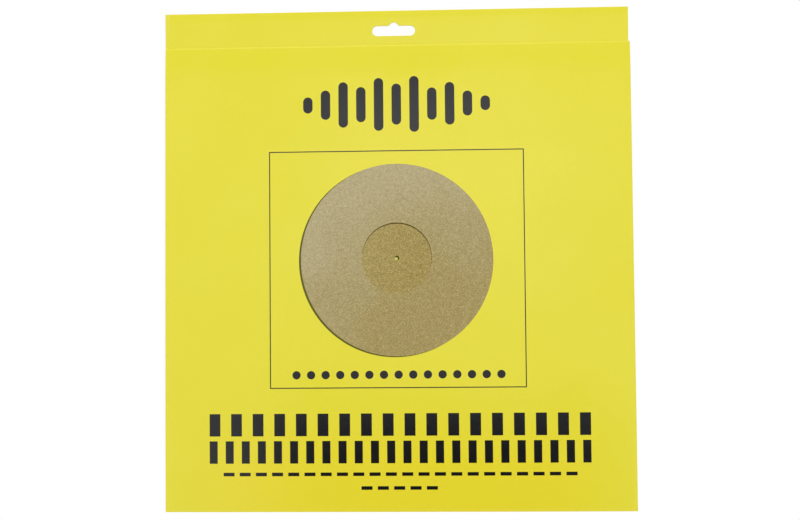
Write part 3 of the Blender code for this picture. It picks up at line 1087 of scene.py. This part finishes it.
def shade_print(name, dark, light, specular, seed):
    """A small printed tone that varies a little between two colours."""
    material = bpy.data.materials.new(name)
    material.diffuse_color = (*light, 1.0)
    tree, place = start_finish(material)
    tone = (tree.noise(place, SHADE_GRAIN, detail=2.0, seed=seed) + 0.5).limited()
    colour = tree.mix(tone, dark, light)
    end_finish(tree, colour, SHADE_ROUGHNESS, paper_skin(tree, place), PAPER_DEPTH, specular)
    return material


rim_shade = shade_print("rim_shade", RIM_DARK, RIM_LIGHT, specular=0.25, seed=9.0)
lip_shade = shade_print("lip_shade", LIP_DARK, LIP_LIGHT, specular=0.06, seed=15.0)
pin_hole = shade_print("pin_hole", HOLE_DARK, HOLE_LIGHT, specular=0.25, seed=12.0)

# %% The board's cut edge
BOARD = (0.62, 0.60, 0.54)
BOARD_DARK = (0.50, 0.48, 0.40)
BOARD_LIGHT = (0.70, 0.68, 0.62)
BOARD_ROUGHNESS = 0.85
FIBRE_GRAIN = 0.0003
FIBRE_WEIGHT = 1.5
FIBRE_DEPTH = 0.00004

board_edge = bpy.data.materials.new("board_edge")
board_edge.diffuse_color = (*BOARD, 1.0)
edge_tree, edge_place = start_finish(board_edge)
fibres = edge_tree.noise(edge_place, FIBRE_GRAIN, detail=4.0, seed=10.0)
edge_colour = edge_tree.mix((fibres * FIBRE_WEIGHT + 0.5).limited(), BOARD_DARK, BOARD_LIGHT)
end_finish(edge_tree, edge_colour, BOARD_ROUGHNESS, fibres, FIBRE_DEPTH)
finishes = [yellow_card, dark_ink, cork, recess, rim_shade, lip_shade, pin_hole, board_edge]
print("finishes", [material.name for material in finishes])

# %% [markdown]
# ## Folding the card
#
# The folded shape follows a rule, so one Geometry Nodes tree bends the flat skin. The front panel has
# a slight crown over the mat, falls back towards the top crease, and sinks at the two lower corners,
# where no mat lies behind it. Sides and bottom turn round their folds, a shoulder of 0.9 mm steps back
# to the header, and the whole panel is a little wavy, as card is. The back panel is flatter, with a
# faint ridge where it lies over the two glued flaps.

# %% The bending rule's sizes
fold_sizes = {
    "Card": CARD,
    "Rise": PANEL_RISE,
    "Crown": 0.0006,
    "Top Drop": 0.0008,
    "Top Run": 0.0220,
    "Mat Radius": 0.1500,
    "Corner Sag": 0.0008,
    "Fold Radius": FOLD_RADIUS,
    "Waviness": 0.00022,
    "Flap Width": 0.0180,
    "Flap Ridge": 0.00012,
    "Header Sway": 0.00050,
    "Header Tip": 0.00100,
}
fold_tree = geometry_group("folded_card", fold_sizes)
fold_in = fold_tree.node("NodeGroupInput")
size = {name: fold_in.output(name) for name in fold_sizes}


def stored(name):
    """A number that the flat card stores at each point or face."""
    return fold_tree.node("GeometryNodeInputNamedAttribute", {"data_type": "FLOAT"}, {"Name": name})


# %% Where a point lies on the sheet
point = fold_tree.node("GeometryNodeInputPosition")
spot = fold_tree.node("ShaderNodeSeparateXYZ", {}, {"Vector": point})
x = spot.output("X")
z = spot.output("Z")
side = stored("side")
across = (x - MIDDLE_X) / (BODY_WIDTH / 2)
upward = (z - MIDDLE_Z) / (BODY_HEIGHT / 2)
from_sides = (x - LEFT_X).at_most(RIGHT_X - x)
from_folds = from_sides.at_most(z - BOTTOM_Z)
top_line = TOP_LEFT_Z - (x - LEFT_X) * (TOP_SLANT / (HEADER_RIGHT_X - LEFT_X))
from_top = top_line - z


# %% The card's rounds
def squared(wire):
    return wire * wire


def smooth(wire):
    """A share from 0 to 1 that starts and ends gently."""
    share = wire.limited()
    return share * share * (3.0 - share * 2.0)


def level_middle(wire):
    """A share that is 1 in a panel's middle and falls to 0 at its edges, where the wire is -1 or 1."""
    return (1.0 - squared(squared(wire))).at_least(0.0)


def round_off(inside, radius):
    """How far a surface drops where it turns round an edge of that radius."""
    left_over = (radius - inside.at_least(0.0)).at_least(0.0)
    return radius - (squared(radius) - squared(left_over)).at_least(0.0).root()


body_share = smooth((HEADER_Z - z) / SHOULDER_HEIGHT)
fold_drop = round_off(from_folds, size["Fold Radius"])
top_round = fold_tree.node("ShaderNodeValue")
top_round.socket.default_value = TOP_ROUND
header_drop = round_off(from_top, top_round)

# %% The front panel
WAVE_GRAIN = 0.085

crown_share = level_middle(across) * level_middle(upward)
crown = size["Crown"] * crown_share
top_share = ((z - CREASE_Z) / size["Top Run"] + 1.0).limited()
top_fall = size["Top Drop"] * squared(top_share)
below = (z - MIDDLE_Z).at_most(0.0)
from_middle = (squared(x - MIDDLE_X) + squared(below)).root()
corner_reach = hypot(BODY_WIDTH / 2, BODY_HEIGHT / 2) - size["Mat Radius"]
past_mat = ((from_middle - size["Mat Radius"]) / corner_reach).at_least(0.0)
corner_fall = size["Corner Sag"] * squared(past_mat)
slow_wave = fold_tree.noise(point, WAVE_GRAIN, detail=1.0, seed=11.0)
wave = size["Waviness"] * slow_wave * level_middle(across)
front = size["Rise"] + crown - top_fall - corner_fall - fold_drop + wave

# %% The back panel
FLAP_BLEND = 0.0015
BACK_WAVE_GRAIN = 0.10
BACK_WAVE_SHARE = 0.6

seam_share = 1.0 - ((from_sides - SEAM_INSET) / SEAM_RUN).limited()
seam_drop = size["Card"] * seam_share
flap_share = 1.0 - smooth((from_sides - size["Flap Width"]) / FLAP_BLEND + 0.5)
ridge_drop = size["Flap Ridge"] * (1.0 - flap_share)
slow_back_wave = fold_tree.noise(point, BACK_WAVE_GRAIN, detail=1.0, seed=13.0)
back_wave = size["Waviness"] * slow_back_wave * BACK_WAVE_SHARE
back = size["Rise"] - ridge_drop - seam_drop - fold_drop + back_wave * crown_share

# %% Both sheets, the header and the cut edges between them
SWAY_GRAIN = 0.12

half_header = size["Card"] - header_drop - stored("pressed")
front_y = half_header + body_share * front
back_y = half_header + body_share * back
back_part = (side + 1.0) / 2.0
header_wave = fold_tree.noise(point, SWAY_GRAIN, detail=0.0, seed=17.0)
sway = size["Header Sway"] * header_wave * (1.0 - body_share)
tip = size["Header Tip"] * ((z - HEADER_Z) / (TOP_LEFT_Z - HEADER_Z)).at_least(0.0)
y = back_y * back_part - front_y * (1.0 - back_part) + sway - tip
folded_place = fold_tree.node("ShaderNodeCombineXYZ", {}, {"X": x, "Y": y, "Z": z})
placing = {"Geometry": fold_in.output("Mesh"), "Position": folded_place}
folded = fold_tree.node("GeometryNodeSetPosition", {}, placing)

# %% How worn each point is
WEAR_REACH = 0.0006
TOP_WEAR_REACH = 0.0003

from_edges = from_folds.at_most(from_top * (WEAR_REACH / TOP_WEAR_REACH))
worn = (1.0 - from_edges / WEAR_REACH).limited()
wear_inputs = {"Geometry": folded, "Name": "wear", "Value": worn}
storing = {"data_type": "FLOAT", "domain": "POINT"}
marked = fold_tree.node("GeometryNodeStoreNamedAttribute", storing, wear_inputs)
dressed = fold_tree.node("GeometryNodeRealizeInstances", {}, {"Geometry": marked})
paint = stored("paint")
for number, material in enumerate(finishes):
    chosen = paint.maths("COMPARE", paint, float(number), 0.5)
    dressing = {"Geometry": dressed, "Selection": chosen, "Material": material}
    dressed = fold_tree.node("GeometryNodeSetMaterial", {}, dressing)
fold_tree.node("NodeGroupOutput", {}, {"Mesh": dressed})
print("bending tree", len(fold_tree.data.nodes), "nodes")

# %% Fold it
SHARP_ANGLE = radians(38.0)

pack_mesh = run_group(fold_tree, flat_mesh, fold_sizes)
pack_mesh.name = "printed_card_pack"
pack_mesh.shade_smooth()
pack_mesh.set_sharp_from_angle(angle=SHARP_ANGLE)
card_pack = bpy.data.objects.new("printed_card_pack", pack_mesh)
bpy.context.scene.collection.objects.link(card_pack)
depths = [vertex.co.y for vertex in pack_mesh.vertices]
print("folded card", len(pack_mesh.polygons), "faces")
print("depth from", round(min(depths), 5), "to", round(max(depths), 5))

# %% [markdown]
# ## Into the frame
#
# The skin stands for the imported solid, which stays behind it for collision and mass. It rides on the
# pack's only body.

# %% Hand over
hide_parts("card_pack")
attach(card_pack, "root")
